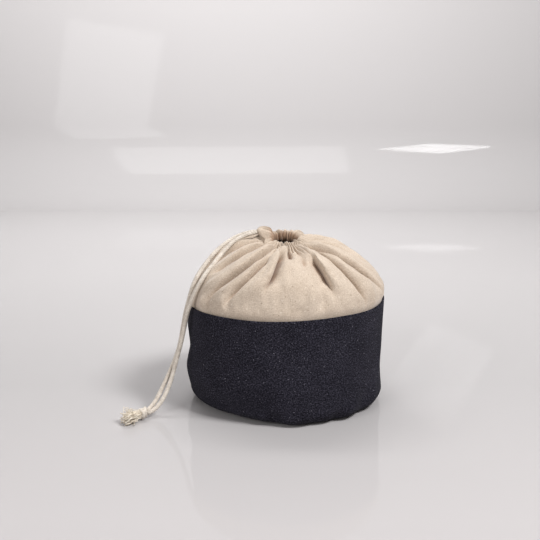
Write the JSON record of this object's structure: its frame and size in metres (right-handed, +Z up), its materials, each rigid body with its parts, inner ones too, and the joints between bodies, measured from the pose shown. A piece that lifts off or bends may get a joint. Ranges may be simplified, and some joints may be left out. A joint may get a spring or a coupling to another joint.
{
  "type": "bread bag",
  "caption": "Round fabric bread bag with a dark denim base and wall, a gathered natural linen top and a cotton drawcord that hangs to a knot with frayed ends.",
  "frame": {"origin": "centre of the bag's footprint, on the surface it stands on", "axes": "+Z up out of the mouth; the bag's front faces -Y; the drawcord leaves the mouth towards -X"},
  "size_m": [0.2903, 0.2251, 0.1987],
  "materials": {
    "denim": "matt indigo twill",
    "linen": "matt plain weave, undyed",
    "cotton": "matt twisted cord, undyed"
  },
  "bodies": {
    "root": {"denim_base": "denim", "denim_wall": "denim", "linen_top": "linen", "drawcord_front": "cotton", "drawcord_back": "cotton", "drawcord_knot": "cotton", "drawcord_fray": "cotton"}
  },
  "joints": []
}
